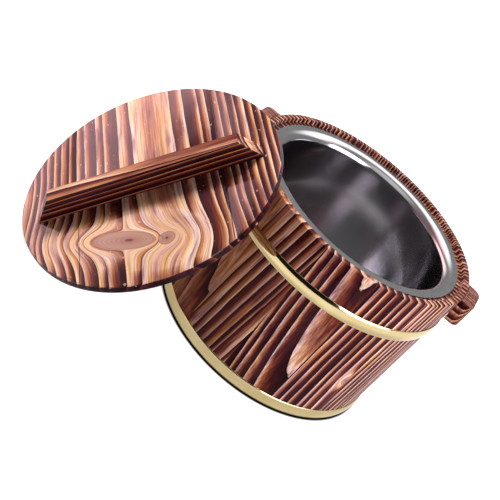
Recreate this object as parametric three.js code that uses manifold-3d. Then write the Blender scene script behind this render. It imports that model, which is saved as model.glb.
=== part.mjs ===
// A coopered rice tub: tapered wooden staves held by two brass hoops, a lift-out steel pot that
// hangs by its flange in the rim, and a loose boarded lid that leans against the tub.
// Millimetres, +Z up, ears along X. The origin is the middle of the footprint of tub and lid.

import * as THREE from "three";
import { mergeVertices } from "three/addons/utils/BufferGeometryUtils.js";
import Module from "manifold-3d";

// Tub wall
const RIM_RADIUS = 120; // outside, at the rim
const TAPER = 2; // the outside radius is this much smaller at the feet
const TUB_HEIGHT = 168.5;
const WALL = 15; // stave thickness
const STAVE_COUNT = 14;
const STAVE_FACETS = 6; // flat strips across one stave's curve
const GLUE_LINE = 0.2; // gap between neighbouring staves or boards
const EDGE_BREAK = 1; // chamfer on the rim's outer edge and on the feet
const RIM_WIDTH = 6.6; // end-grain ring that stands outside the ledge
const LEDGE_DEPTH = 4.4; // from the rim down to the ledge that carries the pot

// Bottom, let into a groove round the inside of the staves
const GROOVE_HEIGHT = 9; // from the feet up to the groove
const GROOVE_DEPTH = 4;
const GROOVE_CLEARANCE = 0.3;
const BOTTOM_THICKNESS = 10;
const BOTTOM_SEAM = 36; // from the middle of the bottom to each seam
const BOTTOM_PIN_OFFSET = 52; // from the middle of a seam to each of its pins

// Bamboo pins that join board edges
const PIN_RADIUS = 1.8;
const PIN_LENGTH = 26;
const PIN_CLEARANCE = 0.15;

// Hoops
const HOOP_WIDTH = 12.5;
const HOOP_EDGE = 0.6; // thickness at a hoop's edges
const HOOP_CROWN = 1; // how far its middle bulges past the edges
const HOOP_STEPS = 4; // straight strips across the bulge
const HOOP_CLEARANCE = 0.2;
const LOWER_HOOP_HEIGHT = 1; // from the feet up to the lower hoop
const EAR_TO_HOOP = 11.2; // from the ears down to the upper hoop

// Ears
const EAR_WIDTH = 40;
const EAR_HEIGHT = 24.5;
const EAR_REACH = 12.5; // how far an ear stands out from the rim
const EAR_CORNER = 8;
const EAR_CLEARANCE = 0.2;
const EAR_SCREW_SPACING = 19;
const EAR_SCREW_COVER = 4; // wood left between a screw's tip and the ear's outer face

// Screws
const SCREW_SHANK_RADIUS = 1.75;
const SCREW_HEAD_RADIUS = 3.5;
const SCREW_HEAD_HEIGHT = 2.4;
const SCREW_HEAD_LAND = 0.4; // straight edge round a head, above its cone
const SCREW_POINT = 4; // length of the tapered tip
const SCREW_CLEARANCE = 0.2;
const SCREW_SINK = 0.5; // a head lies this far below the wood
const ROUND_SIDES = 12; // flat sides of a screw or a pin

// Pot
const POT_DEPTH = 121; // inside, from the flange's top to the floor
const POT_WALL = 0.8;
const POT_ROOM = 9.4; // gap between the pot and the staves
const POT_CORNER = 9; // inside radius where the wall meets the floor
const POT_ROLL = 9; // radius of the roll from the wall into the flange
const POT_SIDES = 72;
const ARC_STEPS = 5;
const FLANGE_SEAT = 3.05; // width of flange that lies on the ledge
const FLANGE_CLEARANCE = 0.3;

// Lid
const LID_INSET = 1.2; // the lid's edge stops this far inside the rim's outside
const LID_THICKNESS = 7.5;
const LID_EDGE = 0.8; // chamfer round both faces
const LID_SEAM = 66; // from the middle of the lid to each seam
const LID_SIDES = 72;
const LID_PIN_OFFSET = 55;
const LID_OVERHANG = 19.5; // slope length of lid that stands past the rim
const LID_CLEARANCE = 0.3; // between the lid and the rim that it leans on
const LID_AZIMUTH = -138.5; // degrees, the side of the tub that the lid leans on
const LID_SIDESTEP = -19.5; // the lid's centre lies this far to one side of that line
const LID_SPIN = -4.4; // degrees that the lid is turned in its own plane

// Lid handle
const HANDLE_MARGIN = 16.3; // from the lid's edge to the handle's foot, along a middle line
const HANDLE_END_SLOPE = 16.5; // each end leans in by this much from foot to top
const HANDLE_WIDTH = 14;
const HANDLE_HEIGHT = 22; // above the lid
const HANDLE_SEAT = 2; // depth of the groove that it stands in
const HANDLE_OFFSET = 6.4; // from the lid's middle line to the handle's
const HANDLE_CLEARANCE = 0.2;
const HANDLE_SCREW_SPACING = 82; // from the middle screw to each outer one
const HANDLE_SCREW_COVER = 8; // wood left above a screw's tip

const wasm = await Module();
wasm.setup();

// Finishes, each giving a piece its own material
const finish = (color, roughness, metalness) => () =>
  new THREE.MeshStandardMaterial({ color, roughness, metalness });
const burntStave = finish(0x84503a, 0.45, 0);
const burntBoard = finish(0xb98468, 0.45, 0);
const plainBoard = finish(0xb98e63, 0.7, 0);
const bamboo = finish(0xc8a766, 0.7, 0);
const brass = finish(0xd9b65a, 0.22, 1);
const steel = finish(0x9c9ca6, 0.28, 1);
const zinc = finish(0xa2a4a8, 0.4, 1);

// Sizes that follow from the driving ones
const QUARTER = Math.PI / 2;
const outsideAt = (height) => RIM_RADIUS - TAPER * (1 - height / TUB_HEIGHT);
const insideAt = (height) => outsideAt(height) - WALL;
const wallSides = STAVE_COUNT * STAVE_FACETS;
const staveTurn = (2 * Math.PI) / STAVE_COUNT;
const ledgeHeight = TUB_HEIGHT - LEDGE_DEPTH;
const ledgeRadius = RIM_RADIUS - RIM_WIDTH;
const grooveTop = GROOVE_HEIGHT + BOTTOM_THICKNESS + 2 * GROOVE_CLEARANCE;
const grooveRadius = insideAt(grooveTop) + GROOVE_DEPTH;
const earFoot = TUB_HEIGHT - EAR_HEIGHT;
const earMiddle = TUB_HEIGHT - EAR_HEIGHT / 2;
const earTip = RIM_RADIUS + EAR_REACH;
const upperHoopHeight = earFoot - EAR_TO_HOOP - HOOP_WIDTH;
const lidRadius = RIM_RADIUS - LID_INSET;
const handleFoot = lidRadius - HANDLE_MARGIN;
const handleTop = LID_THICKNESS + HANDLE_HEIGHT;
const handleSeat = LID_THICKNESS - HANDLE_SEAT;

// A closed geometry as a solid that can be cut and joined.
function solid(geometry) {
  const bare = geometry.clone();
  bare.deleteAttribute("normal");
  bare.deleteAttribute("uv");
  const merged = mergeVertices(bare);
  return new wasm.Manifold(
    new wasm.Mesh({
      numProp: 3,
      vertProperties: merged.attributes.position.array,
      triVerts: Uint32Array.from(merged.index.array),
    }),
  );
}

// A cut or joined solid as a geometry.
function geometryOf(made) {
  const { vertProperties, triVerts } = made.getMesh();
  const geometry = new THREE.BufferGeometry();
  geometry.setAttribute("position", new THREE.BufferAttribute(vertProperties, 3));
  geometry.setIndex(new THREE.BufferAttribute(triVerts, 1));
  geometry.computeVertexNormals();
  return geometry;
}

const cut = (made, cutters) => cutters.reduce((rest, cutter) => rest.subtract(cutter), made);

// A shape turned about Z, from an outline of [radius, height] pairs that runs up its outside.
function turned(outline, sides) {
  const points = outline.map(([radius, height]) => new THREE.Vector2(radius, height));
  return new THREE.LatheGeometry(points, sides).rotateX(QUARTER);
}

// The points of an arc in an outline, from one angle to another in quarter turns.
function arc(radius, height, size, from, to) {
  return Array.from({ length: ARC_STEPS + 1 }, (_, step) => {
    const angle = (from + ((to - from) * step) / ARC_STEPS) * QUARTER;
    return [radius + size * Math.cos(angle), height + size * Math.sin(angle)];
  });
}

// A block between two corners.
function block(low, high) {
  const size = high.map((value, axis) => value - low[axis]);
  const middle = high.map((value, axis) => (value + low[axis]) / 2);
  return new THREE.BoxGeometry(...size).translate(...middle);
}

function addPiece(group, name, geometry, material) {
  const mesh = new THREE.Mesh(geometry, material());
  mesh.name = name;
  group.add(mesh);
}

// A countersunk wood screw along +Z, with the face of its head at zero. A grown copy with room
// before its head cuts the hole that it sits in.
function screw(length, grow = 0, headroom = 0) {
  const head = SCREW_HEAD_RADIUS + grow;
  const shank = SCREW_SHANK_RADIUS + grow;
  const outline = [
    [0, -headroom],
    [head, -headroom],
    [head, SCREW_HEAD_LAND + grow],
    [shank, SCREW_HEAD_HEIGHT + grow],
    [shank, length - SCREW_POINT],
    [0, length + grow],
  ];
  return turned(outline, ROUND_SIDES);
}

// Three boards side by side along X, sawn from one blank, with bamboo pins across both seams.
function boarded(blank, seam, pinHeight, pinOffset) {
  const spots = [-seam, seam].flatMap((x) => [-pinOffset, pinOffset].map((y) => [x, y, pinHeight]));
  const pinAt = (spot, grow = 0) =>
    new THREE.CylinderGeometry(PIN_RADIUS + grow, PIN_RADIUS + grow, PIN_LENGTH + 2 * grow, ROUND_SIDES)
      .rotateZ(QUARTER)
      .translate(...spot);
  const drilled = cut(blank, spots.map((spot) => solid(pinAt(spot, PIN_CLEARANCE))));
  const far = 2 * RIM_RADIUS;
  const near = seam - GLUE_LINE / 2;
  const sawn = [
    [-far, -near - GLUE_LINE],
    [-near, near],
    [near + GLUE_LINE, far],
  ];
  const boards = sawn.map(([left, right]) =>
    geometryOf(drilled.intersect(solid(block([left, -far, -far], [right, far, far])))),
  );
  return { boards, pins: spots.map((spot) => pinAt(spot)) };
}

const tub = new THREE.Group();

// Two screws hold each ear. They pass out through the wall from the inside.
const earScrewStart = insideAt(earMiddle) + SCREW_SINK;
const earScrewLength = earTip - EAR_SCREW_COVER - earScrewStart;
const ears = [
  { side: "right", turn: 0 },
  { side: "left", turn: Math.PI },
];
const earScrews = ears.flatMap(({ side, turn }) =>
  [-0.5, 0.5].map((share, index) => ({
    name: `ear_screw_${side}_${index + 1}`,
    place: (shape) =>
      shape
        .rotateY(QUARTER)
        .translate(earScrewStart, share * EAR_SCREW_SPACING, earMiddle)
        .rotateZ(turn),
  })),
);
const earScrewHoles = earScrews.map(({ place }) =>
  solid(place(screw(earScrewLength, SCREW_CLEARANCE, WALL))),
);
for (const { name, place } of earScrews) {
  addPiece(tub, name, place(screw(earScrewLength)), zinc);
}

// The staves are equal sectors of one turned wall, which has the ledge, the groove for the bottom
// and the broken edges in it. The first stands behind the middle of the right ear.
const wallOutline = [
  [outsideAt(0) - EDGE_BREAK, 0],
  [outsideAt(EDGE_BREAK), EDGE_BREAK],
  [outsideAt(TUB_HEIGHT - EDGE_BREAK), TUB_HEIGHT - EDGE_BREAK],
  [RIM_RADIUS - EDGE_BREAK, TUB_HEIGHT],
  [ledgeRadius, TUB_HEIGHT],
  [ledgeRadius, ledgeHeight],
  [insideAt(ledgeHeight), ledgeHeight],
  [insideAt(grooveTop), grooveTop],
  [grooveRadius, grooveTop],
  [grooveRadius, GROOVE_HEIGHT],
  [insideAt(GROOVE_HEIGHT), GROOVE_HEIGHT],
  [insideAt(0), 0],
];
const wall = solid(turned([...wallOutline, wallOutline[0]], wallSides));
const wedgeTip = new THREE.Vector2(GLUE_LINE / 2 / Math.sin(staveTurn / 2), 0);
const wedgeCorner = (turn) =>
  new THREE.Vector2(Math.cos(turn), Math.sin(turn)).multiplyScalar(2 * RIM_RADIUS).add(wedgeTip);
const wedge = new THREE.Shape([wedgeTip, wedgeCorner(-staveTurn / 2), wedgeCorner(staveTurn / 2)]);
for (let index = 0; index < STAVE_COUNT; index++) {
  const sector = new THREE.ExtrudeGeometry(wedge, { depth: 2 * TUB_HEIGHT, bevelEnabled: false })
    .translate(0, 0, -TUB_HEIGHT / 2)
    .rotateZ(index * staveTurn);
  const stave = cut(wall.intersect(solid(sector)), earScrewHoles);
  addPiece(tub, `stave_${String(index + 1).padStart(2, "0")}`, geometryOf(stave), burntStave);
}

// The bottom is a disc of pinned boards in the groove.
const bottomFoot = GROOVE_HEIGHT + GROOVE_CLEARANCE;
const bottomTop = bottomFoot + BOTTOM_THICKNESS;
const bottomRadius = grooveRadius - GROOVE_CLEARANCE;
const bottomOutline = [
  [0, bottomFoot],
  [bottomRadius, bottomFoot],
  [bottomRadius, bottomTop],
  [0, bottomTop],
];
const bottomBlank = solid(turned(bottomOutline, wallSides));
const bottom = boarded(bottomBlank, BOTTOM_SEAM, (bottomFoot + bottomTop) / 2, BOTTOM_PIN_OFFSET);
bottom.boards.forEach((board, index) => addPiece(tub, `bottom_board_${index + 1}`, board, plainBoard));
bottom.pins.forEach((pin, index) => addPiece(tub, `bottom_pin_${index + 1}`, pin, bamboo));

// Each hoop is a welded ring of strip with a bulged outer face, driven on over the taper.
function hoop(foot) {
  const seat = (height) => outsideAt(height) + HOOP_CLEARANCE;
  const bulge = Array.from({ length: HOOP_STEPS + 1 }, (_, step) => {
    const across = (2 * step) / HOOP_STEPS - 1;
    const height = foot + (HOOP_WIDTH * step) / HOOP_STEPS;
    return [seat(height) + HOOP_EDGE + HOOP_CROWN * (1 - across ** 2), height];
  });
  const start = [seat(foot), foot];
  const end = [seat(foot + HOOP_WIDTH), foot + HOOP_WIDTH];
  return turned([start, ...bulge, end, start], wallSides);
}
addPiece(tub, "upper_hoop", hoop(upperHoopHeight), brass);
addPiece(tub, "lower_hoop", hoop(LOWER_HOOP_HEIGHT), brass);

// The ears are blocks with round corners, hollowed at the back to fit the wall.
const wallFace = solid(
  turned(
    [
      [0, 0],
      [outsideAt(0) + EAR_CLEARANCE, 0],
      [outsideAt(2 * TUB_HEIGHT) + EAR_CLEARANCE, 2 * TUB_HEIGHT],
      [0, 2 * TUB_HEIGHT],
    ],
    wallSides,
  ),
);
const earPlan = new THREE.Shape();
earPlan.moveTo(RIM_RADIUS - WALL, -EAR_WIDTH / 2);
earPlan.lineTo(earTip - EAR_CORNER, -EAR_WIDTH / 2);
earPlan.absarc(earTip - EAR_CORNER, EAR_CORNER - EAR_WIDTH / 2, EAR_CORNER, -QUARTER, 0);
earPlan.absarc(earTip - EAR_CORNER, EAR_WIDTH / 2 - EAR_CORNER, EAR_CORNER, 0, QUARTER);
earPlan.lineTo(RIM_RADIUS - WALL, EAR_WIDTH / 2);
for (const { side, turn } of ears) {
  const blank = new THREE.ExtrudeGeometry(earPlan, {
    depth: EAR_HEIGHT,
    bevelEnabled: false,
    curveSegments: ARC_STEPS,
  })
    .translate(0, 0, earFoot)
    .rotateZ(turn);
  addPiece(tub, `ear_${side}`, geometryOf(cut(solid(blank), [wallFace, ...earScrewHoles])), burntStave);
}

// The pot is drawn from one sheet: floor, round corner, wall, roll and flange.
const flangeTop = ledgeHeight + FLANGE_CLEARANCE + POT_WALL;
const flangeRadius = insideAt(ledgeHeight) + FLANGE_SEAT;
const potFloor = flangeTop - POT_DEPTH;
const potRadius = Math.min(insideAt(potFloor), insideAt(ledgeHeight)) - POT_ROOM - POT_WALL;
const cornerAt = [potRadius - POT_CORNER, potFloor + POT_CORNER];
const rollAt = [potRadius + POT_ROLL, flangeTop - POT_ROLL];
const potOutline = [
  [0, potFloor - POT_WALL],
  ...arc(...cornerAt, POT_CORNER + POT_WALL, -1, 0),
  ...arc(...rollAt, POT_ROLL - POT_WALL, 2, 1),
  [flangeRadius, flangeTop - POT_WALL],
  [flangeRadius, flangeTop],
  ...arc(...rollAt, POT_ROLL, 1, 2),
  ...arc(...cornerAt, POT_CORNER, 0, -1),
  [0, potFloor],
];
const pot = new THREE.Group();
addPiece(pot, "inner_pot", turned(potOutline, POT_SIDES), steel);

// The lid is a disc of pinned boards with a groove across them for the handle, which is screwed
// on from below. It is made lying flat, face up, with the handle along X.
const lid = new THREE.Group();
const lidOutline = [
  [0, 0],
  [lidRadius - LID_EDGE, 0],
  [lidRadius, LID_EDGE],
  [lidRadius, LID_THICKNESS - LID_EDGE],
  [lidRadius - LID_EDGE, LID_THICKNESS],
  [0, LID_THICKNESS],
];
const handleGroove = block(
  [-handleFoot - HANDLE_CLEARANCE, HANDLE_OFFSET - HANDLE_WIDTH / 2 - HANDLE_CLEARANCE, handleSeat],
  [handleFoot + HANDLE_CLEARANCE, HANDLE_OFFSET + HANDLE_WIDTH / 2 + HANDLE_CLEARANCE, 2 * LID_THICKNESS],
);
const handleScrewLength = handleTop - HANDLE_SCREW_COVER - SCREW_SINK;
const handleScrews = [-1, 0, 1].map((step, index) => ({
  name: `handle_screw_${index + 1}`,
  place: (shape) => shape.translate(step * HANDLE_SCREW_SPACING, HANDLE_OFFSET, SCREW_SINK),
}));
const handleScrewHoles = handleScrews.map(({ place }) =>
  solid(place(screw(handleScrewLength, SCREW_CLEARANCE, LID_THICKNESS))),
);
for (const { name, place } of handleScrews) {
  addPiece(lid, name, place(screw(handleScrewLength)), zinc);
}
const lidBlank = cut(solid(turned(lidOutline, LID_SIDES)), [solid(handleGroove), ...handleScrewHoles]);
const lidParts = boarded(lidBlank, LID_SEAM, LID_THICKNESS / 2, LID_PIN_OFFSET);
lidParts.boards.forEach((board, index) => addPiece(lid, `lid_board_${index + 1}`, board, burntBoard));
lidParts.pins.forEach((pin, index) => addPiece(lid, `lid_pin_${index + 1}`, pin, bamboo));

// The handle is a bar with sloping ends, so its top is shorter than its foot.
const handleSide = new THREE.Shape([
  new THREE.Vector2(-handleFoot, handleSeat + HANDLE_CLEARANCE),
  new THREE.Vector2(handleFoot, handleSeat + HANDLE_CLEARANCE),
  new THREE.Vector2(handleFoot, LID_THICKNESS),
  new THREE.Vector2(handleFoot - HANDLE_END_SLOPE, handleTop),
  new THREE.Vector2(HANDLE_END_SLOPE - handleFoot, handleTop),
  new THREE.Vector2(-handleFoot, LID_THICKNESS),
]);
const handleBar = new THREE.ExtrudeGeometry(handleSide, { depth: HANDLE_WIDTH, bevelEnabled: false })
  .rotateX(QUARTER)
  .translate(0, HANDLE_OFFSET + HANDLE_WIDTH / 2, 0);
addPiece(lid, "lid_handle", geometryOf(cut(solid(handleBar), handleScrewHoles)), burntBoard);

// The lid leans with its lower edge on the table and its underside on the rim. The slope follows
// from the tub's height and the length of lid below the rim.
const lean = Math.asin(TUB_HEIGHT / (2 * lidRadius - LID_OVERHANG));
const rimReach = Math.max(
  ...wallOutline.map(([radius, height]) => radius * Math.sin(lean) + height * Math.cos(lean)),
);
const lidDrop = Math.min(
  ...lidOutline.map(([radius, height]) => height * Math.cos(lean) - radius * Math.sin(lean)),
);
const lidOut = (rimReach + LID_CLEARANCE + lidDrop * Math.cos(lean)) / Math.sin(lean);
lid.rotation.z = THREE.MathUtils.degToRad(LID_SPIN);
const leaning = new THREE.Group().add(lid);
leaning.position.set(lidOut, LID_SIDESTEP, -lidDrop);
leaning.rotation.y = lean;
const lidSide = new THREE.Group().add(leaning);
lidSide.rotation.z = THREE.MathUtils.degToRad(LID_AZIMUTH);

// The tub, its pot and the leaning lid, moved so that the origin is the middle of their footprint.
const set = new THREE.Group().add(tub, pot, lidSide);
const extent = new THREE.Box3().setFromObject(set, true);
const middle = extent.getCenter(new THREE.Vector3());
set.position.set(-middle.x, -middle.y, -extent.min.z);

export default new THREE.Group().add(set);
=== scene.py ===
# A rice tub of burnt and brushed wood, with a steel pot inside and its lid leaning on it.
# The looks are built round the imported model, in its frame: metres, +Z up, ears along X.

import math
import random

import bmesh
import bpy
from mathutils import Matrix, Vector


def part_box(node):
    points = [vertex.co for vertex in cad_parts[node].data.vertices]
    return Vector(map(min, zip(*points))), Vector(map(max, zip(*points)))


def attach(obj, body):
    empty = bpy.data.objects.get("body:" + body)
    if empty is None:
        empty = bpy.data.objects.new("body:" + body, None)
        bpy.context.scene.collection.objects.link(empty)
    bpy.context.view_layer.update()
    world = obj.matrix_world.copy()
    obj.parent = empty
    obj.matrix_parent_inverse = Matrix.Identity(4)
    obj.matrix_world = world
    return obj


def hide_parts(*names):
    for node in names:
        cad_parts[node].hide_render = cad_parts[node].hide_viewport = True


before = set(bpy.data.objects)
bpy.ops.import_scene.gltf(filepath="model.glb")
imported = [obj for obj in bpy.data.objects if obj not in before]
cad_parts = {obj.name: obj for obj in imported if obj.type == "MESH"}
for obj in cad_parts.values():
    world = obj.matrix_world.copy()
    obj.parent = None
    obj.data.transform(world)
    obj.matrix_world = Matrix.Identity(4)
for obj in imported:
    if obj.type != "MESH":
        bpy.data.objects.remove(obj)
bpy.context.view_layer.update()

# Staves: boards of fast-grown softwood, scorched black with a torch, brushed until the hard rings stand
# pale and proud, and lacquered. They stand glued edge to edge, and a rebate inside their upper ends
# carries the pot.

hoop_low, hoop_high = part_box("upper_hoop")
TUB_AXIS = Vector(((hoop_low.x + hoop_high.x) / 2, (hoop_low.y + hoop_high.y) / 2, 0))
TUB_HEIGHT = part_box("stave_01")[1].z
RIM_RADIUS = 0.120
TAPER = 0.002
WALL = 0.015
RIM_WIDTH = 0.0066
LEDGE_DEPTH = 0.0044
GROOVE_HEIGHT = 0.009
GROOVE_WIDTH = 0.0106
GROOVE_DEPTH = 0.004
GLUE_LINE = 0.0002
STAVE_STEPS = 10
SHARP_ANGLE = math.radians(20)
EDGE_ROUND = 0.001
SEAM_ROUND = 0.0004
FIRST_RING = 0.0158
RING_GROWTH = 1.5
RELIEF = 0.0003
TUB_GLOSS = 0.08


def outside_at(height):
    """The outside radius of the tapered tub at a height."""
    return RIM_RADIUS - TAPER * (1 - height / TUB_HEIGHT)


def paint(code):
    """The linear colour of a hex code such as 7a4a30."""
    shares = [int(code[start:start + 2], 16) / 255 for start in (0, 2, 4)]
    return [s / 12.92 if s <= 0.04045 else ((s + 0.055) / 1.055) ** 2.4 for s in shares] + [1]


def put(tree, kind, inputs=None, **settings):
    """Adds a shader node, with each input set to a value or linked to a socket."""
    made = tree.nodes.new("ShaderNode" + kind)
    for name, value in settings.items():
        setattr(made, name, value)
    for key, value in (inputs or {}).items():
        if isinstance(value, bpy.types.NodeSocket):
            tree.links.new(value, made.inputs[key])
        else:
            made.inputs[key].default_value = value
    return made


def reckon(tree, operation, *terms):
    """The result of a Math node on values or sockets."""
    return put(tree, "Math", dict(enumerate(terms)), operation=operation).outputs[0]


def reckon_vector(tree, operation, *terms):
    """The result of a Vector Math node: a number for a length or a dot product, else a vector."""
    made = put(tree, "VectorMath", dict(enumerate(terms)), operation=operation)
    return made.outputs["Value" if operation in ("LENGTH", "DOT_PRODUCT") else "Vector"]


def rise(tree, value, low, high):
    """A soft step from 0 at low to 1 at high."""
    inputs = {"Value": value, "From Min": low, "From Max": high}
    return put(tree, "MapRange", inputs, interpolation_type="SMOOTHSTEP").outputs["Result"]


def ramp(tree, value, stops):
    """A colour that follows a value through stops of (position, hex code)."""
    made = put(tree, "ValToRGB", {"Fac": value})
    elements = made.color_ramp.elements
    while len(elements) < len(stops):
        elements.new(1)
    for element, (position, code) in zip(elements, stops):
        element.position = position
        element.color = paint(code)
    return made.outputs["Color"]


def tint(tree, share, under, over, way="MIX"):
    """Two colours mixed by a share, in one of the Mix node's ways."""
    made = put(tree, "Mix", {0: share, 6: under, 7: over}, data_type="RGBA", blend_type=way)
    return made.outputs[2]


def streaks(tree, place, across, along, detail=2.0):
    """Noise with so many waves in a metre across Z and along it. Z is the way of a log's fibre."""
    waves = reckon_vector(tree, "MULTIPLY", place, (across, across, along))
    return put(tree, "TexNoise", {"Vector": waves, "Scale": 1.0, "Detail": detail}).outputs


def open_group(name, inputs, outputs):
    """A shader node group with named sockets, and its two end nodes."""
    tree = bpy.data.node_groups.new(name, "ShaderNodeTree")
    for side, sockets in (("INPUT", inputs), ("OUTPUT", outputs)):
        for socket, kind in sockets.items():
            tree.interface.new_socket(socket, in_out=side, socket_type="NodeSocket" + kind)
    return tree, tree.nodes.new("NodeGroupInput").outputs, tree.nodes.new("NodeGroupOutput").inputs


BURNT_RING = (
    (0.0, "140205"), (0.1, "22060b"), (0.42, "401318"), (0.6, "773728"),
    (0.74, "b5785d"), (0.84, "daa88c"), (0.92, "f8d2bc"), (0.985, "ffe6da"),
)
HUES = ((0.34, "bca2aa"), (0.45, "f6eef4"), (0.52, "fff6e6"), (0.62, "fff0c4"))


def grow_burnt_wood():
    """Growth rings round a pith along Z, each from scorched early wood to a pale hard line."""
    tree, given, wanted = open_group(
        "burnt_wood",
        {"Place": "Vector", "Char": "Float", "Toast": "Float"},
        {"Colour": "Color", "Height": "Float", "Roughness": "Float"},
    )
    place, char = given["Place"], given["Char"]
    log_number = reckon(tree, "FLOOR", put(tree, "SeparateXYZ", {0: place}).outputs[2])
    bend = reckon_vector(tree, "SUBTRACT", streaks(tree, place, 16, 5)[1], (0.5, 0.5, 0.5))
    ripple = reckon_vector(tree, "SUBTRACT", streaks(tree, place, 60, 14)[1], (0.5, 0.5, 0.5))
    bent = reckon_vector(tree, "MULTIPLY_ADD", bend, (0.003, 0.003, 0), place)
    bent = reckon_vector(tree, "MULTIPLY_ADD", ripple, (0.0020, 0.0020, 0), bent)
    radius = reckon_vector(tree, "LENGTH", reckon_vector(tree, "MULTIPLY", bent, (1, 1, 0)))
    count = reckon(tree, "POWER", reckon(tree, "DIVIDE", radius, FIRST_RING), RING_GROWTH)
    year = reckon(tree, "MULTIPLY_ADD", log_number, 7.3, count)
    years = {"W": year, "Scale": 0.9, "Detail": 0.0}
    season = put(tree, "TexNoise", years, noise_dimensions="1D").outputs[0]
    count = reckon(tree, "ADD", reckon(tree, "MULTIPLY_ADD", season, 0.5, 0.25), count)
    fibre = streaks(tree, place, 900, 26, 3.0)[0]
    count = reckon(tree, "MULTIPLY_ADD", fibre, 0.07, count)
    ring = reckon(tree, "FLOOR", count)
    share = reckon(tree, "FRACT", count)

    named = put(tree, "CombineXYZ", {0: ring, 1: log_number}).outputs[0]
    chance = put(tree, "TexWhiteNoise", {"Vector": named}, noise_dimensions="2D").outputs[0]
    patch = streaks(tree, place, 12, 4)[0]
    luck = reckon(tree, "MULTIPLY_ADD", patch, 0.8, reckon(tree, "MULTIPLY_ADD", chance, 0.8, -0.8))
    burnt = put(tree, "Clamp", {"Value": reckon(tree, "ADD", char, luck)}).outputs[0]
    hard = reckon(tree, "POWER", share, reckon(tree, "MULTIPLY_ADD", burnt, 0.9, 0.1))
    hard = reckon(tree, "MULTIPLY", hard, reckon(tree, "MULTIPLY_ADD", given["Toast"], -0.2, 1.0))
    uneven = reckon(tree, "SUBTRACT", streaks(tree, place, 280, 6, 3.0)[0], 0.5)
    hard = reckon(tree, "MULTIPLY_ADD", uneven, 0.36, hard)
    # Char above 1.1 darkens the rings further; on the handle's sides this is partly painted shade.
    deep = reckon(tree, "MAXIMUM", reckon(tree, "SUBTRACT", char, 1.1), 0.0)
    hard = reckon(tree, "MULTIPLY_ADD", deep, -0.5, hard)
    colour = ramp(tree, hard, BURNT_RING)
    # Mauve painted into cloudy patches of the dark rings: a painted sheen that stands in for the soft glow
    # of the lacquer.
    cloudy = rise(tree, streaks(tree, place, 60, 7, 4.0)[0], 0.42, 0.72)
    mauve_painted_sheen = reckon(tree, "MULTIPLY", cloudy, rise(tree, hard, 0.62, 0.4))
    colour = tint(tree, reckon(tree, "MULTIPLY", mauve_painted_sheen, 0.6), colour, paint("4e2838"))
    hue = ramp(tree, streaks(tree, place, 220, 20, 4.0)[0], HUES)
    colour = tint(tree, 1.0, colour, hue, "MULTIPLY")
    colour = tint(tree, given["Toast"], colour, paint("ffe6b8"), "MULTIPLY")
    shade = ramp(tree, fibre, ((0.25, "a09494"), (0.7, "ffffff")))
    colour = tint(tree, 1.0, colour, shade, "MULTIPLY")
    tree.links.new(colour, wanted["Colour"])

    ridge = reckon(tree, "MULTIPLY", rise(tree, hard, 0.6, 0.95), rise(tree, share, 1.0, 0.97))
    tree.links.new(reckon(tree, "MULTIPLY_ADD", fibre, 0.25, ridge), wanted["Height"])
    tree.links.new(reckon(tree, "MULTIPLY_ADD", fibre, 0.2, 0.3), wanted["Roughness"])
    return tree


def show(tree, shader):
    """Makes a shader the surface of its material."""
    tree.links.new(shader.outputs[0], tree.nodes["Material Output"].inputs["Surface"])


def lacquer(tree, wood, colour, gloss):
    """Brushed wood under lacquer of some gloss."""
    bump = put(tree, "Bump", {"Strength": 1.0, "Distance": RELIEF, "Height": wood.outputs["Height"]})
    settings = {
        "Base Color": colour,
        "Roughness": wood.outputs["Roughness"],
        "Normal": bump.outputs["Normal"],
        "Specular IOR Level": 0.02,
        "Coat Weight": gloss,
        "Coat Roughness": 0.05,
        "Sheen Weight": 0.2,
        "Sheen Roughness": 0.3,
        "Sheen Tint": (0.85, 0.72, 1.0, 1.0),
    }
    show(tree, put(tree, "BsdfPrincipled", settings))


def blank_material(name):
    """A material with only an output node, and its tree."""
    material = bpy.data.materials.new(name)
    material.use_nodes = True
    tree = material.node_tree
    for leftover in [node for node in tree.nodes if node.type != "OUTPUT_MATERIAL"]:
        tree.nodes.remove(leftover)
    return material, tree


def grow_knot():
    """A knot, round which the grain parts: how far it pushes the grain aside, and its own rings."""
    tree, given, wanted = open_group(
        "knot",
        {"Place": "Vector", "Centre": "Vector", "Size": "Vector", "Lean": "Vector", "Core": "Vector"},
        {"Push": "Float", "Inside": "Float", "Halo": "Float", "Ring": "Float"},
    )
    off = reckon_vector(tree, "SUBTRACT", given["Place"], given["Centre"])
    off = reckon_vector(tree, "MULTIPLY", off, (1, 0, 1))
    aside = put(tree, "SeparateXYZ", {0: off}).outputs[0]
    leaning = put(tree, "VectorMath", {0: given["Lean"], 3: aside}, operation="SCALE").outputs[0]
    share = reckon_vector(tree, "DIVIDE", reckon_vector(tree, "ADD", off, leaning), given["Size"])
    square = reckon_vector(tree, "DOT_PRODUCT", share, share)
    reach = reckon(tree, "SQRT", square)
    push = reckon(tree, "DIVIDE", aside, reckon(tree, "MAXIMUM", square, 1.0))
    tree.links.new(reckon(tree, "MULTIPLY", push, -1.0), wanted["Push"])
    tree.links.new(rise(tree, reach, 1.04, 0.96), wanted["Inside"])
    tree.links.new(rise(tree, reach, 4.4, 0.9), wanted["Halo"])
    inwards = reckon(tree, "SUBTRACT", 1.0, reach)
    towards = put(tree, "VectorMath", {0: given["Core"], 3: inwards}, operation="SCALE").outputs[0]
    ring = reckon_vector(tree, "LENGTH", reckon_vector(tree, "SUBTRACT", share, towards))
    tree.links.new(ring, wanted["Ring"])
    return tree


KNOT_RINGS = (
    (0.0, "3a1c1c"), (0.12, "6d4038"), (0.2, "a07060"), (0.75, "b08672"), (0.93, "a87a66"), (1.0, "98664e"),
)
burnt_wood = grow_burnt_wood()
knot_group = grow_knot()


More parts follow.
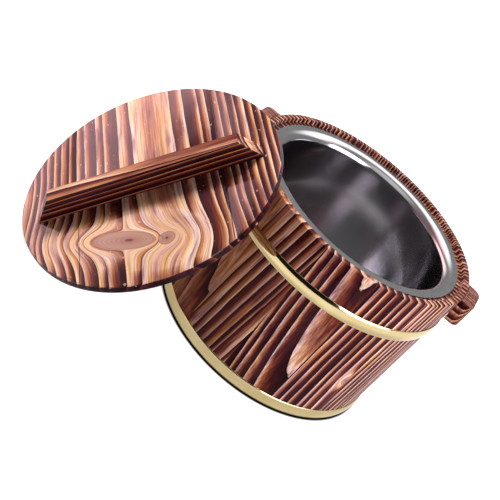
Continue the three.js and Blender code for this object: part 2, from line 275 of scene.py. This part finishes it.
def make_burnt_wood(name, knots=(), specks=0.0):
    """Burnt wood, read from each piece's own place in its log. A knot has a place in a log, a size, a lean
    and a core beside its middle."""
    material, tree = blank_material(name)
    place = put(tree, "Attribute", attribute_name="grain").outputs["Vector"]
    burn = put(tree, "Attribute", attribute_name="burn").outputs["Vector"]
    char, toast, gloss = put(tree, "SeparateXYZ", {0: burn}).outputs
    pushed = place
    rings = []
    for centre, size, slope, core in knots:
        settings = {
            "Place": place,
            "Centre": (centre[0], 0, centre[1]),
            "Size": (size[0], 1, size[1]),
            "Lean": (0, 0, slope),
            "Core": (core, 0, 0),
        }
        knot = put(tree, "Group", settings, node_tree=knot_group).outputs
        shift = put(tree, "CombineXYZ", {0: knot["Push"]}).outputs[0]
        pushed = reckon_vector(tree, "ADD", pushed, shift)
        char = reckon(tree, "MULTIPLY_ADD", knot["Halo"], -0.9, char)
        rings.append(knot)
    wood = put(tree, "Group", {"Place": pushed, "Char": char, "Toast": toast}, node_tree=burnt_wood)
    colour = wood.outputs["Colour"]
    if specks:
        speck = rise(tree, streaks(tree, place, 420, 200, 0.0)[0], 0.75, 0.82)
        colour = tint(tree, reckon(tree, "MULTIPLY", speck, specks), colour, paint("f0c4a8"))
    for knot in rings:
        fine = reckon(tree, "SINE", reckon(tree, "MULTIPLY", knot["Ring"], 52.0))
        grey = reckon(tree, "MULTIPLY_ADD", fine, 0.12, 0.12)
        grown = tint(tree, grey, ramp(tree, knot["Ring"], KNOT_RINGS), paint("6a4038"))
        colour = tint(tree, knot["Inside"], colour, grown)
    lacquer(tree, wood, colour, gloss)
    return material


def make_piece(name, bm, material, body, slot, *nodes):
    """A finished piece of the object that rides on a body and stands for its nodes."""
    mesh = bpy.data.meshes.new(name)
    bm.to_mesh(mesh)
    bm.free()
    mesh.shade_smooth()
    mesh.set_sharp_from_angle(angle=SHARP_ANGLE)
    mesh.materials.append(material)
    piece = bpy.data.objects.new(name, mesh)
    bpy.context.scene.collection.objects.link(piece)
    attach(piece, body)
    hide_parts(*nodes)
    return piece


def lay_grain(piece, log, char, toast, gloss):
    """Stores where each point lies in the log that the piece was sawn from, how deep its soft rings are
    charred, how brown its hard ones are toasted and how glossy its lacquer is."""
    attributes = piece.data.attributes
    attributes.new("grain", "FLOAT_VECTOR", "POINT")
    attributes.new("burn", "FLOAT_VECTOR", "POINT")
    for vertex, place in zip(piece.data.vertices, attributes["grain"].data):
        place.vector = log @ vertex.co
    for burn in attributes["burn"].data:
        burn.vector = (char, toast, gloss)


def tub_log(turn, number, across, depth, slant, tilt, first_ring):
    """A log whose pith lies across and behind the tub's wall at one azimuth. The pith leans sideways by
    slant and outwards by tilt for each metre up, and the log's first ring has a radius."""
    sawn = Matrix((
        (0, 1, -slant, -across),
        (1, 0, -tilt, -RIM_RADIUS - depth),
        (0, 0, 1, number),
        (0, 0, 0, 1),
    ))
    scale = FIRST_RING / first_ring
    widened = Matrix.Diagonal((scale, scale, 1, 1))
    return widened @ sawn @ Matrix.Rotation(-turn, 4, "Z") @ Matrix.Translation(-TUB_AXIS)


def round_off(bm, geom, size, segments, affect="EDGES"):
    """Rounds edges of a body, or corners of a flat outline."""
    bmesh.ops.bevel(bm, geom=geom, offset=size, offset_type="OFFSET", segments=segments, profile=0.5,
                    affect=affect, material=-1)


def spin_stave(turn, half):
    """One stave, standing round an azimuth, from the outline of the wall."""
    groove_top = GROOVE_HEIGHT + GROOVE_WIDTH
    ledge = TUB_HEIGHT - LEDGE_DEPTH
    groove_radius = outside_at(groove_top) - WALL + GROOVE_DEPTH
    outline = (
        (outside_at(0), 0, EDGE_ROUND),
        (RIM_RADIUS, TUB_HEIGHT, EDGE_ROUND),
        (RIM_RADIUS - RIM_WIDTH, TUB_HEIGHT, EDGE_ROUND / 2),
        (RIM_RADIUS - RIM_WIDTH, ledge, 0),
        (outside_at(ledge) - WALL, ledge, EDGE_ROUND / 2),
        (outside_at(groove_top) - WALL, groove_top, 0),
        (groove_radius, groove_top, 0),
        (groove_radius, GROOVE_HEIGHT, 0),
        (outside_at(GROOVE_HEIGHT) - WALL, GROOVE_HEIGHT, 0),
        (outside_at(0) - WALL, 0, EDGE_ROUND / 2),
    )
    bm = bmesh.new()
    start = Matrix.Translation(TUB_AXIS) @ Matrix.Rotation(turn - half, 4, "Z")
    corners = [bm.verts.new(start @ Vector((radius, 0, height))) for radius, height, _ in outline]
    bm.faces.new(corners)
    for size in (EDGE_ROUND, EDGE_ROUND / 2):
        rounded = [corner for corner, point in zip(corners, outline) if point[2] == size]
        round_off(bm, rounded, size, 3, "VERTICES")
    bmesh.ops.spin(bm, geom=bm.verts[:] + bm.edges[:] + bm.faces[:], cent=TUB_AXIS, axis=(0, 0, 1),
                   angle=2 * half, steps=STAVE_STEPS, use_merge=False, use_duplicate=False)
    bmesh.ops.recalc_face_normals(bm, faces=bm.faces)
    return bm


def round_seams(bm):
    """Breaks the long outer edges of a stave, where it meets its neighbours."""
    ends = [face for face in bm.faces if len(face.verts) > 4]
    long_edges = [
        edge for face in ends for edge in face.edges
        if edge.calc_length() > TUB_HEIGHT / 2
        and all((vert.co - TUB_AXIS).xy.length > RIM_RADIUS - WALL / 2 for vert in edge.verts)
    ]
    round_off(bm, long_edges, SEAM_ROUND, 2)


# Logs chosen for five staves in front and three whose upper ends show at the back: number, across, depth,
# slant, tilt and first ring of the log, then the char and toast of the stave.
CHOSEN_LOGS = {
    # stave_14, on the right flank, has a low char: partly its own tone, partly painted light from the right
    # soft box.
    "stave_14": (13, 0.070, -0.020, 0.036, 0.00, 0.0200, 0.56, 0.0),
    "stave_13": (12, 0.078, -0.015, 0.00, 0.00, 0.0230, 1.05, 0.0),
    "stave_12": (103, 0.0224, -0.0289, -0.035, 0.120, 0.0158, 0.75, 0.0),
    "stave_11": (10, -0.065, -0.015, 0.10, 0.02, 0.0205, 0.46, 0.25),
    "stave_10": (9, 0.020, -0.036, 0.02, 0.10, 0.0200, 0.04, 0.6),
    "stave_03": (2, 0.075, -0.015, 0.00, 0.00, 0.0120, 0.95, 0.1),
    "stave_04": (3, -0.070, -0.012, 0.02, 0.00, 0.0115, 0.95, 0.1),
    "stave_05": (4, 0.080, -0.014, -0.02, 0.00, 0.0125, 0.90, 0.2),
}
stave_nodes = sorted(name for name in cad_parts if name.startswith("stave_"))
stave_turn = 2 * math.pi / len(stave_nodes)
stave_half = stave_turn / 2 - GLUE_LINE / 2 / RIM_RADIUS
TUB_KNOTS = (((-0.0362, 12.059), (0.0031, 0.006), 0.0, 0.0),)
tub_wood = make_burnt_wood("tub_wood", TUB_KNOTS)
dice = random.Random(11)
for number, node in enumerate(stave_nodes):
    side = dice.choice((-1, 1))
    by_chance = (
        number,
        side * dice.uniform(0.06, 0.09),
        -dice.uniform(0.010, 0.020),
        dice.uniform(-0.06, 0.06),
        dice.uniform(-0.06, 0.06),
        dice.uniform(0.0170, 0.0220),
        dice.uniform(0.85, 1.1),
        dice.uniform(0.0, 0.3),
    )
    *log, char, toast = CHOSEN_LOGS.get(node, by_chance)
    turn = number * stave_turn
    stave = spin_stave(turn, stave_half)
    round_seams(stave)
    piece = make_piece("burnt_" + node, stave, tub_wood, "tub", "tub_wood", node)
    lay_grain(piece, tub_log(turn, *log), char, toast, TUB_GLOSS)

# Bottom: a disc of three bare planed softwood boards, held in the groove of the staves.
# Bamboo pins in the edges of the boards join them.


def make_bare_wood(name, early, late, rings, along):
    """Bare planed wood with straight grain along one axis."""
    material, tree = blank_material(name)
    place = put(tree, "TexCoord").outputs["Object"]
    waves = reckon_vector(tree, "MULTIPLY", place, tuple(6 if axis == along else 140 for axis in "XYZ"))
    noise = {"Vector": waves, "Scale": rings, "Detail": 4.0, "Distortion": 0.3}
    grain = put(tree, "TexNoise", noise).outputs[0]
    colour = ramp(tree, grain, ((0.3, late), (0.46, early), (0.62, early), (0.72, late)))
    bump = put(tree, "Bump", {"Strength": 0.4, "Distance": 0.0002, "Height": grain})
    settings = {"Base Color": colour, "Normal": bump.outputs[0], "Roughness": 0.62}
    show(tree, put(tree, "BsdfPrincipled", settings))
    return material


bottom_wood = make_bare_wood("bottom_wood", "cfa57a", "a8784c", 1.0, "Y")
pin_bamboo = make_bare_wood("pin_bamboo", "d8bd7c", "b8965a", 3.0, "X")
for node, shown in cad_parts.items():
    if node.startswith("bottom_board"):
        shown.data.materials.clear()
        shown.data.materials.append(bottom_wood)
    if "_pin_" in node:
        shown.data.materials.clear()
        shown.data.materials.append(pin_bamboo)

# Hoops: two welded rings of brass strip, rolled to a bulge and polished.
# They are driven on over the taper of the staves and hold them together.

HOOP_EDGE = 0.0006
HOOP_CROWN = 0.001
HOOP_CLEARANCE = 0.0002
HOOP_STEPS = 12
HOOP_ROUND = 0.0003
LINE_HEIGHT = 0.0001
ARC_STEPS = 8
ROUND_STEPS = 144


def revolve(outline, steps, closed):
    """A shape turned about the tub's axis from an outline of (radius, height) pairs."""
    bm = bmesh.new()
    points = [bm.verts.new(TUB_AXIS + Vector((radius, 0, height))) for radius, height in outline]
    pairs = list(zip(points, points[1:]))
    if closed:
        pairs.append((points[-1], points[0]))
    edges = [bm.edges.new(pair) for pair in pairs]
    bmesh.ops.spin(bm, geom=points + edges, cent=TUB_AXIS, axis=(0, 0, 1), angle=2 * math.pi, steps=steps,
                   use_merge=True, use_duplicate=False)
    bmesh.ops.remove_doubles(bm, verts=bm.verts, dist=1e-6)
    bmesh.ops.recalc_face_normals(bm, faces=bm.faces)
    return bm


def arc(radius, height, size, start, end):
    """Points of an arc in an outline, from one angle to another in degrees."""
    angles = [math.radians(start + (end - start) * step / ARC_STEPS) for step in range(ARC_STEPS + 1)]
    return [(radius + size * math.cos(angle), height + size * math.sin(angle)) for angle in angles]


def show_metal(tree, colour, roughness, lines, strength):
    """Bare metal, with fine lines that stand out by a strength."""
    bump = put(tree, "Bump", {"Strength": strength, "Distance": LINE_HEIGHT, "Height": lines})
    settings = {"Base Color": colour, "Metallic": 1.0, "Roughness": roughness, "Normal": bump.outputs[0]}
    show(tree, put(tree, "BsdfPrincipled", settings))


def make_hoop_brass():
    """Polished brass with the faint lines of rolling round the hoop."""
    material, tree = blank_material("hoop_brass")
    place = put(tree, "TexCoord").outputs["Object"]
    lines = streaks(tree, place, 3, 2600, 3.0)[0]
    cloud = put(tree, "TexNoise", {"Vector": place, "Scale": 40.0, "Detail": 3.0}).outputs[0]
    colour = ramp(tree, cloud, ((0.3, "d4c088"), (0.7, "dccb9a")))
    roughness = reckon(tree, "MULTIPLY_ADD", lines, 0.1, 0.03)
    show_metal(tree, colour, roughness, lines, 0.15)
    return material


hoop_brass = make_hoop_brass()
for node in ("upper_hoop", "lower_hoop"):
    low, high = (corner.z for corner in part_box(node))
    seat = {height: outside_at(height) + HOOP_CLEARANCE for height in (low, high)}
    edge = HOOP_EDGE - HOOP_ROUND
    outline = arc(seat[low] + edge, low + HOOP_ROUND, HOOP_ROUND, -90, -18)
    for step in range(1, HOOP_STEPS):
        height = low + (high - low) * step / HOOP_STEPS
        swell = HOOP_CROWN * (1 - (2 * step / HOOP_STEPS - 1) ** 2)
        outline.append((outside_at(height) + HOOP_CLEARANCE + HOOP_EDGE + swell, height))
    outline += arc(seat[high] + edge, high - HOOP_ROUND, HOOP_ROUND, 18, 90)
    outline += [(seat[high], high), (seat[low], low)]
    hoop = revolve(outline, ROUND_STEPS, True)
    make_piece("brass_" + node, hoop, hoop_brass, "tub", "hoop_brass", node)

# Ears: two blocks of the same burnt wood, to lift the tub by. Their backs are hollowed to fit the wall,
# and screws from inside the wall hold them.

EAR_CORNER = 0.008
EAR_ROUND = 0.001
EAR_CLEARANCE = 0.0002
# For each ear: across, depth, slant, tilt and first ring of the log, then its char and toast.
EAR_LOGS = {
    "ear_right": (0.07, 0.002, 0.3, 0.0, 0.0120, 0.75, 0.4),
    "ear_left": (-0.07, 0.002, -0.3, 0.0, 0.0125, 0.8, 0.4),
}


def draw_out(bm, faces, way):
    """Draws flat faces out along a way."""
    drawn = bmesh.ops.extrude_face_region(bm, geom=faces)["geom"]
    moved = [item for item in drawn if isinstance(item, bmesh.types.BMVert)]
    bmesh.ops.translate(bm, verts=moved, vec=way)


def carve_ear(node, turn):
    """A block with round outer corners, standing out from the wall at an azimuth."""
    low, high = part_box(node)
    half = (high.y - low.y) / 2
    tip = max(abs(low.x - TUB_AXIS.x), abs(high.x - TUB_AXIS.x))
    back = RIM_RADIUS + EAR_CLEARANCE
    spread = math.asin(half / back)
    bm = bmesh.new()
    outline = [Vector((tip, -half, low.z)), Vector((tip, half, low.z))]
    for step in range(9):
        angle = spread * (1 - step / 4)
        outline.append(Vector((back * math.cos(angle), back * math.sin(angle), low.z)))
    corners = [bm.verts.new(point) for point in outline]
    bm.faces.new(corners)
    round_off(bm, corners[:2], EAR_CORNER, 8, "VERTICES")
    draw_out(bm, bm.faces[:], (0, 0, high.z - low.z))
    bmesh.ops.recalc_face_normals(bm, faces=bm.faces)
    level = [edge for edge in bm.edges if abs(edge.verts[0].co.z - edge.verts[1].co.z) < EAR_ROUND]
    round_off(bm, level, EAR_ROUND, 3)
    ear_place = Matrix.Translation(TUB_AXIS) @ Matrix.Rotation(turn, 4, "Z")
    bmesh.ops.transform(bm, verts=bm.verts, matrix=ear_place)
    return bm


for node, turn in (("ear_right", 0), ("ear_left", math.pi)):
    *log, char, toast = EAR_LOGS[node]
    piece = make_piece("burnt_" + node, carve_ear(node, turn), tub_wood, "tub", "tub_wood", node)
    lay_grain(piece, tub_log(turn, len(stave_nodes) + turn, *log), char, toast, TUB_GLOSS)

# Pot: one drawn shell of stainless steel, brushed round and round inside, with a rolled edge and a flange
# that lies on the ledge of the staves.

POT_WALL = 0.0008
POT_CORNER = 0.009
POT_ROLL = 0.009
POT_ROOM = 0.0094


def make_pot_steel():
    """Brushed stainless steel, with fine lines round the pot and soft streaks down its wall."""
    material, tree = blank_material("pot_steel")
    place = put(tree, "TexCoord").outputs["Object"]
    lines = streaks(tree, place, 8, 1800, 4.0)[0]
    smear = streaks(tree, place, 70, 6, 4.0)[0]
    colour = ramp(tree, smear, ((0.3, "b4b2b4"), (0.7, "bcbabc")))
    roughness = reckon(tree, "MULTIPLY_ADD", smear, 0.03, reckon(tree, "MULTIPLY_ADD", lines, 0.06, 0.10))
    show_metal(tree, colour, roughness, lines, 0.03)
    return material


pot_low, pot_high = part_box("inner_pot")
flange_top = pot_high.z
flange_radius = (pot_high.x - pot_low.x) / 2
pot_floor = pot_low.z + POT_WALL
pot_radius = outside_at(pot_floor) - WALL - POT_ROOM - POT_WALL
corner_at = (pot_radius - POT_CORNER, pot_floor + POT_CORNER)
roll_at = (pot_radius + POT_ROLL, flange_top - POT_ROLL)
pot_outline = [
    (0, pot_low.z),
    *arc(*corner_at, POT_CORNER + POT_WALL, -90, 0),
    *arc(*roll_at, POT_ROLL - POT_WALL, 180, 90),
    (flange_radius, flange_top - POT_WALL),
    (flange_radius, flange_top),
    (roll_at[0] + POT_WALL, flange_top),
    *arc(*roll_at, POT_ROLL, 90, 180),
    (pot_radius, roll_at[1] - POT_WALL),
    (pot_radius, corner_at[1] + POT_WALL),
    *arc(*corner_at, POT_CORNER, 0, -90),
    (corner_at[0] - POT_WALL, pot_floor),
    (0, pot_floor),
]
pot = revolve(pot_outline, ROUND_STEPS, False)
make_piece("steel_inner_pot", pot, make_pot_steel(), "pot", "pot_steel", "inner_pot")

# Lid: three burnt and brushed boards, pinned edge to edge and turned to a disc, with a shallow groove
# across them for the handle. It leans with its lower edge on the table and its underside on the rim.

LID_RADIUS = 0.1188
LID_THICKNESS = 0.0075
LID_EDGE = 0.0008
LID_SEAM = 0.066
LID_JOINT = 0.000002
LID_SIDES = 180
LID_OVERHANG = 0.0195
LID_CLEARANCE = 0.0003
LID_AZIMUTH = math.radians(-138.5)
LID_SIDESTEP = -0.0195
LID_SPIN = math.radians(-4.4)
HANDLE_HALF = 0.1025
HANDLE_WIDTH = 0.014
HANDLE_OFFSET = 0.0064
HANDLE_SEAT = 0.002
HANDLE_CLEARANCE = 0.0002

lean = math.asin(TUB_HEIGHT / (2 * LID_RADIUS - LID_OVERHANG))
rim_edge = (outside_at(TUB_HEIGHT - EDGE_ROUND), TUB_HEIGHT - EDGE_ROUND)
rim_reach = rim_edge[0] * math.sin(lean) + rim_edge[1] * math.cos(lean)
lid_drop = LID_RADIUS * math.sin(lean) - LID_EDGE * math.cos(lean)
lid_out = (rim_reach + LID_CLEARANCE - lid_drop * math.cos(lean)) / math.sin(lean)
lid_round = LID_EDGE * math.cos(lean) / (math.sin(lean) + math.cos(lean) - 1)
lid_place = (
    Matrix.Translation(TUB_AXIS)
    @ Matrix.Rotation(LID_AZIMUTH, 4, "Z")
    @ Matrix.Translation((lid_out, LID_SIDESTEP, lid_drop))
    @ Matrix.Rotation(lean, 4, "Y")
    @ Matrix.Rotation(LID_SPIN, 4, "Z")
)


def saw_lid_board(left, right):
    """A slice of the disc between two lines across it, with the handle's groove, lying flat."""
    bm = bmesh.new()
    bmesh.ops.create_circle(bm, cap_ends=True, segments=LID_SIDES, radius=LID_RADIUS)
    for line, way in ((left, 1), (right, -1)):
        bmesh.ops.bisect_plane(bm, geom=bm.verts[:] + bm.edges[:] + bm.faces[:], plane_co=(line, 0, 0),
                               plane_no=(way, 0, 0), clear_inner=True)
    draw_out(bm, bm.faces[:], (0, 0, LID_THICKNESS))
    bmesh.ops.recalc_face_normals(bm, faces=bm.faces)
    rims = [
        edge for edge in bm.edges
        if edge.calc_face_angle() > 1
        and all(vert.co.xy.length > LID_RADIUS - LID_EDGE for vert in edge.verts)
        and abs(edge.verts[0].co.z - edge.verts[1].co.z) < LID_EDGE
    ]
    round_off(bm, rims, lid_round, 4)
    side = HANDLE_WIDTH / 2 + HANDLE_CLEARANCE
    end = HANDLE_HALF + HANDLE_CLEARANCE
    groove_lines = (
        ((0, HANDLE_OFFSET - side, 0), (0, 1, 0)),
        ((0, HANDLE_OFFSET + side, 0), (0, 1, 0)),
        ((-end, 0, 0), (1, 0, 0)),
        ((end, 0, 0), (1, 0, 0)),
    )
    for point, way in groove_lines:
        whole = bm.verts[:] + bm.edges[:] + bm.faces[:]
        bmesh.ops.bisect_plane(bm, geom=whole, plane_co=point, plane_no=way)
    seat = []
    for face in bm.faces:
        middle = face.calc_center_median()
        if face.normal.z > 0.9 and abs(middle.y - HANDLE_OFFSET) < side and abs(middle.x) < end:
            seat.append(face)
    draw_out(bm, seat, (0, 0, -HANDLE_SEAT))
    bmesh.ops.delete(bm, geom=seat, context="FACES")
    bmesh.ops.recalc_face_normals(bm, faces=bm.faces)
    bmesh.ops.transform(bm, verts=bm.verts, matrix=lid_place)
    return bm


LID_LOG = 64.5
LID_FIRST_RING = 0.0213
LID_CHAR = 0.46
LID_TOAST = 0.12
LID_GLOSS = 1.0
LID_SPECKS = 0.4
LID_SIDE_BURN = (1.9, 0.2, TUB_GLOSS)
LID_PITH = (-0.006, -0.012)
# Each knot has a place on the lid, a half width and half length, a lean and a core beside its middle.
LID_KNOTS = (
    ((0.0263, 0.0640), (0.0280, 0.0110), 0.4, -0.2),
    ((-0.0106, 0.0752), (0.0075, 0.0072), 0.0, 0.0),
)
lid_scale = FIRST_RING / LID_FIRST_RING
lid_wood = make_burnt_wood("lid_wood", [
    (((x - LID_PITH[0]) * lid_scale, y + LID_LOG), (wide * lid_scale, long), slope, core)
    for (x, y), (wide, long), slope, core in LID_KNOTS
], LID_SPECKS)
lid_flat = lid_place.inverted()
LID_BOARDS = {
    "lid_board_1": (-2 * LID_RADIUS, -LID_SEAM - LID_JOINT),
    "lid_board_2": (-LID_SEAM + LID_JOINT, LID_SEAM - LID_JOINT),
    "lid_board_3": (LID_SEAM + LID_JOINT, 2 * LID_RADIUS),
}
for node, (left, right) in LID_BOARDS.items():
    piece = make_piece("burnt_" + node, saw_lid_board(left, right), lid_wood, "lid", "lid_wood", node)
    log = Matrix((
        (lid_scale, 0, 0, -LID_PITH[0] * lid_scale),
        (0, 0, lid_scale, -LID_PITH[1] * lid_scale),
        (0, 1, 0, LID_LOG),
        (0, 0, 0, 1),
    ))
    lay_grain(piece, log @ lid_flat, LID_CHAR, LID_TOAST, LID_GLOSS)
    for vertex, burn in zip(piece.data.vertices, piece.data.attributes["burn"].data):
        flat = lid_flat @ vertex.co
        between = LID_EDGE / 2 < flat.z < LID_THICKNESS - LID_EDGE / 2
        if between and flat.xy.length > LID_RADIUS - LID_EDGE / 2:
            burn.vector = LID_SIDE_BURN
        elif flat.z < LID_THICKNESS / 2:
            burn.vector = (LID_CHAR, LID_TOAST, TUB_GLOSS)

# Handle: a bar of the same wood with sloping ends, let into the groove across the boards of the lid
# and screwed on from below. Its sides are charred darker than its top and sloping ends, partly as painted
# shade.

HANDLE_TOP_HALF = 0.086
HANDLE_HEIGHT = 0.022
HANDLE_ROUND = 0.0007
# The dark char of the sides is partly painted shade.
HANDLE_SIDE_CHAR_AND_PAINTED_SHADE = (1.3, 0.4, 0.15)
HANDLE_TOP_BURN = (0.42, 0.2, 0.15)


def shape_handle():
    """The bar, from the outline of its side, in its place on the leaning lid."""
    foot = LID_THICKNESS - HANDLE_SEAT + HANDLE_CLEARANCE
    top = LID_THICKNESS + HANDLE_HEIGHT
    near = HANDLE_OFFSET - HANDLE_WIDTH / 2
    bm = bmesh.new()
    side = (
        (-HANDLE_HALF, foot), (HANDLE_HALF, foot), (HANDLE_HALF, LID_THICKNESS),
        (HANDLE_TOP_HALF, top), (-HANDLE_TOP_HALF, top), (-HANDLE_HALF, LID_THICKNESS),
    )
    bm.faces.new([bm.verts.new((along, near, height)) for along, height in side])
    draw_out(bm, bm.faces[:], (0, HANDLE_WIDTH, 0))
    bmesh.ops.recalc_face_normals(bm, faces=bm.faces)
    round_off(bm, bm.edges[:], HANDLE_ROUND, 3)
    bmesh.ops.transform(bm, verts=bm.verts, matrix=lid_place)
    return bm


handle_wood = make_burnt_wood("handle_wood")
handle = make_piece("burnt_lid_handle", shape_handle(), handle_wood, "lid", "lid_wood", "lid_handle")
HANDLE_PITH = (-0.0048, -0.0291)
handle_log = Matrix((
    (0, 1.6, 0, -HANDLE_PITH[0]),
    (0.015, 0, 1.15, -HANDLE_PITH[1]),
    (1, 0, 0, LID_LOG + 4),
    (0, 0, 0, 1),
))
# Every face starts with the dark char of the sides, partly painted shade; the top and the sloping ends then
# get the paler char.
lay_grain(handle, handle_log @ lid_flat, *HANDLE_SIDE_CHAR_AND_PAINTED_SHADE)
for face in handle.data.polygons:
    facing = lid_flat.to_3x3() @ face.normal
    if facing.z > 0.9 or (facing.z > 0.2 and abs(facing.x) > 0.5 and face.area > HANDLE_WIDTH ** 2):
        for corner in face.vertices:
            handle.data.attributes["burn"].data[corner].vector = HANDLE_TOP_BURN

# Screws: zinc-plated countersunk wood screws. Four hold the ears through the wall, and three hold the
# handle from under the lid.

screw_zinc, tree = blank_material("screw_zinc")
place = put(tree, "TexCoord").outputs["Object"]
dull = put(tree, "TexNoise", {"Vector": place, "Scale": 900.0, "Detail": 3.0}).outputs[0]
show(tree, put(tree, "BsdfPrincipled", {
    "Base Color": ramp(tree, dull, ((0.3, "8e9196"), (0.7, "b4b7ba"))),
    "Metallic": 1.0,
    "Roughness": reckon(tree, "MULTIPLY_ADD", dull, 0.2, 0.3),
}))
for node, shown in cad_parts.items():
    if "screw" in node:
        shown.data.materials.clear()
        shown.data.materials.append(screw_zinc)

# Stage: a plain white floor that shows a shadow, with a thin dark ring round the tub's foot painted on as a
# contact shadow, a surround that is white to the camera and shaded in reflections, two soft boxes and the
# camera.

FLOOR_SIZE = 4.0
FLOOR_FRONT = -0.5
floor_bm = bmesh.new()
bmesh.ops.create_grid(floor_bm, x_segments=1, y_segments=1, size=FLOOR_SIZE)
bmesh.ops.translate(floor_bm, verts=floor_bm.verts, vec=(0, FLOOR_SIZE + FLOOR_FRONT, 0))
floor_mesh = bpy.data.meshes.new("floor")
floor_bm.to_mesh(floor_mesh)
floor_bm.free()
floor = bpy.data.objects.new("floor", floor_mesh)
bpy.context.scene.collection.objects.link(floor)
floor_white, tree = blank_material("floor_white")
path = put(tree, "LightPath").outputs
seen = reckon(tree, "MULTIPLY_ADD", path["Is Glossy Ray"], 0.55, path["Is Camera Ray"])
off_axis = reckon_vector(tree, "SUBTRACT", put(tree, "TexCoord").outputs["Object"], TUB_AXIS)
out = reckon_vector(tree, "LENGTH", off_axis)
# Painted contact shadow: close round the tub's foot the floor neither glows nor reflects, so it shows as a
# thin dark ring.
near = rise(tree, out, 0.1190, 0.1217)
glow = reckon(tree, "MULTIPLY", seen, reckon(tree, "MULTIPLY", near, 0.85))
matt = put(tree, "BsdfDiffuse", {"Color": reckon(tree, "MULTIPLY", near, 0.5)})
white = put(tree, "Emission", {"Color": (1, 1, 1, 1), "Strength": glow})
show(tree, put(tree, "AddShader", {0: matt.outputs[0], 1: white.outputs[0]}))
floor_mesh.materials.append(floor_white)

world = bpy.data.worlds.new("surround")
world.use_nodes = True
bpy.context.scene.world = world
tree = world.node_tree
tree.nodes.clear()
path = put(tree, "LightPath").outputs
backdrop = reckon(tree, "MAXIMUM", path["Is Camera Ray"], path["Is Transmission Ray"])
rays = put(tree, "TexCoord").outputs["Generated"]
ways = put(tree, "SeparateXYZ", {0: rays}).outputs
low = rise(tree, ways[2], 0.40, 0.37)
back = rise(tree, ways[1], 0.0, 0.4)
left = rise(tree, ways[0], -0.4, -0.8)
above = reckon(tree, "MULTIPLY", left, rise(tree, ways[2], 0.26, 0.36))
wall = reckon(tree, "MULTIPLY", left, rise(tree, ways[1], -0.2, 0.2))
wall = reckon(tree, "MULTIPLY", low, wall)
wall = reckon(tree, "MULTIPLY", wall, reckon(tree, "SUBTRACT", 1.45, above))
far = reckon(tree, "MULTIPLY", back, rise(tree, ways[2], 0.46, 0.62))
wall = reckon(tree, "MAXIMUM", wall, far)
dark = reckon(tree, "MULTIPLY", low, rise(tree, ways[1], -0.6, -0.85))
dusk = reckon(tree, "MULTIPLY_ADD", wall, 1.9, reckon(tree, "MULTIPLY_ADD", dark, -0.34, 0.35))
overhead = rise(tree, reckon_vector(tree, "DOT_PRODUCT", rays, (0, -0.56, 0.83)), 0.84, 0.98)
dusk = reckon(tree, "MULTIPLY_ADD", overhead, 0.6, dusk)
dusk = reckon(tree, "MULTIPLY", dusk, reckon(tree, "MULTIPLY_ADD", path["Is Diffuse Ray"], -0.8, 1.0))
level = reckon(tree, "MAXIMUM", backdrop, dusk)
rosy = reckon(tree, "MULTIPLY", left, reckon(tree, "SUBTRACT", 1.0, backdrop))
sky_colour = tint(tree, rosy, (1, 1, 1, 1), (1, 0.6, 0.65, 1))
sky = put(tree, "Background", {"Color": sky_colour, "Strength": level})
tree.links.new(sky.outputs[0], put(tree, "OutputWorld").inputs["Surface"])


def hang_softbox(name, towards, distance, size, power, colour, shine):
    """A square soft box that faces the middle of the object from a direction."""
    lamp = bpy.data.lights.new(name, "AREA")
    lamp.color = colour
    lamp.shape = "SQUARE"
    lamp.size = size
    lamp.energy = power
    holder = bpy.data.objects.new(name, lamp)
    bpy.context.scene.collection.objects.link(holder)
    aim = Vector((0, 0, TUB_HEIGHT / 2))
    way = Vector(towards).normalized()
    holder.visible_glossy = shine
    turned = way.to_track_quat("Z", "Y").to_matrix().to_4x4()
    holder.matrix_world = Matrix.Translation(aim + way * distance) @ turned


hang_softbox("key_softbox", (-0.64, 0.25, 0.72), 1.6, 0.5, 41, (1, 1, 1), False)
hang_softbox("right_softbox", (0.86, -0.42, 0.30), 1.8, 1.6, 55, (0.92, 0.87, 1.0), True)

EYE = Vector((0.0719, -0.8161, 0.5453))
TARGET = Vector((0.0029, 0.0409, 0.0514))
ROLL = math.radians(40.13)
LENS = 73.30
camera = bpy.data.objects.new("camera", bpy.data.cameras.new("camera"))
camera.data.lens = LENS
camera.data.sensor_width = 36
bpy.context.scene.collection.objects.link(camera)
sight = (TARGET - EYE).to_track_quat("-Z", "Y").to_matrix().to_4x4()
camera.matrix_world = Matrix.Translation(EYE) @ sight @ Matrix.Rotation(ROLL, 4, "Z")
bpy.context.scene.camera = camera
bpy.context.scene.view_settings.view_transform = "Standard"
